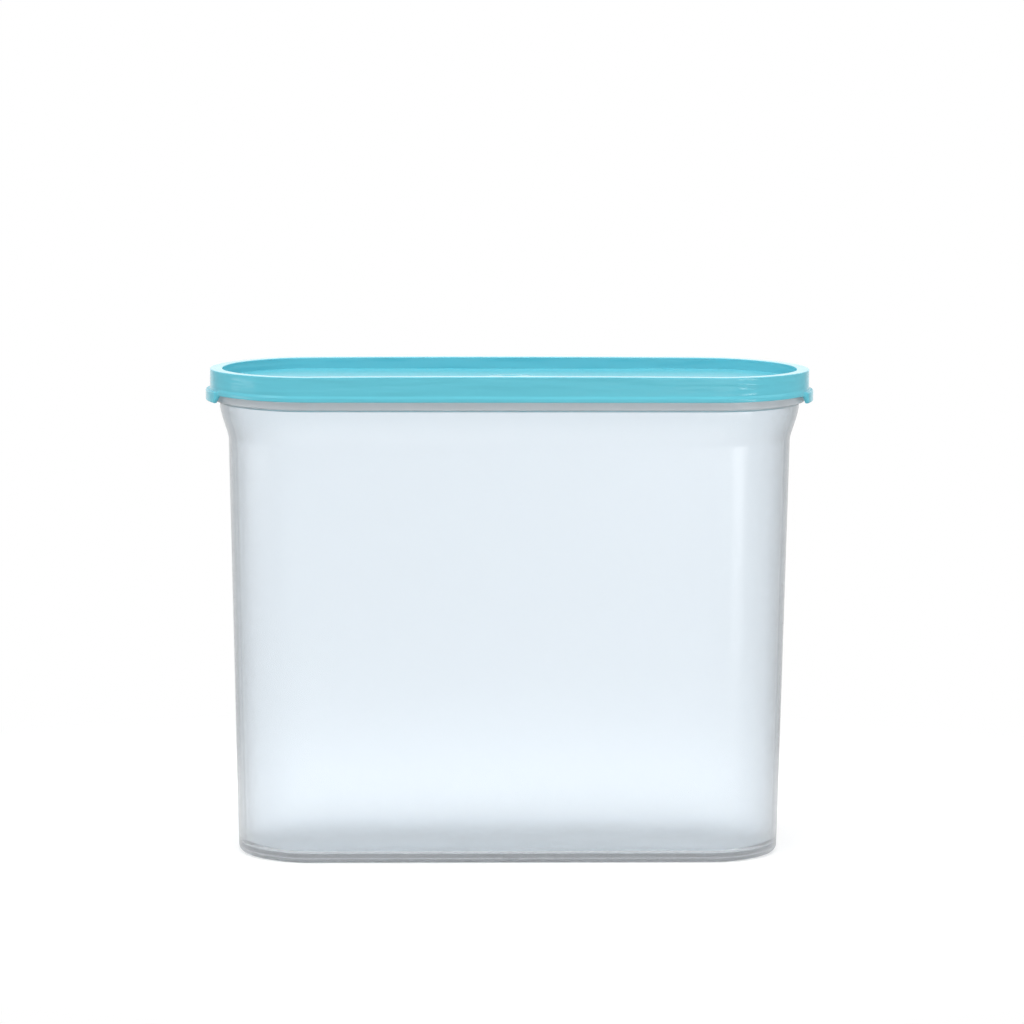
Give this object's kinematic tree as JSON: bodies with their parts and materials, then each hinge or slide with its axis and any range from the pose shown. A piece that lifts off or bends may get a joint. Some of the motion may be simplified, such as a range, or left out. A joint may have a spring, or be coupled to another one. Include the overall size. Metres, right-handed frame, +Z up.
{
  "type": "oval cereal container with press-on lid",
  "caption": "Tall oval food keeper: a thin translucent canister with a flared shoulder and stepped rim, closed by a press-on lid with a sunken stacking panel and thumb tabs.",
  "frame": {"origin": "Middle of the foot, on the surface that the container stands on", "axes": "+X along the length, +Y to the back, so that the front is -Y, and +Z up"},
  "size_m": [0.2678, 0.106, 0.2151],
  "materials": {
    "container": "frosted translucent polypropylene, injection moulded, satin",
    "lid": "coloured polyethylene, injection moulded, semi-gloss with a fine-grained panel"
  },
  "bodies": {
    "container": {"container": "container"},
    "lid": {"lid": "lid"}
  },
  "joints": [
    {"name": "lid_lift", "type": "slide", "parent": "container", "child": "lid", "axis": [0, 0, 1], "range_m": [0, 0.06]}
  ]
}
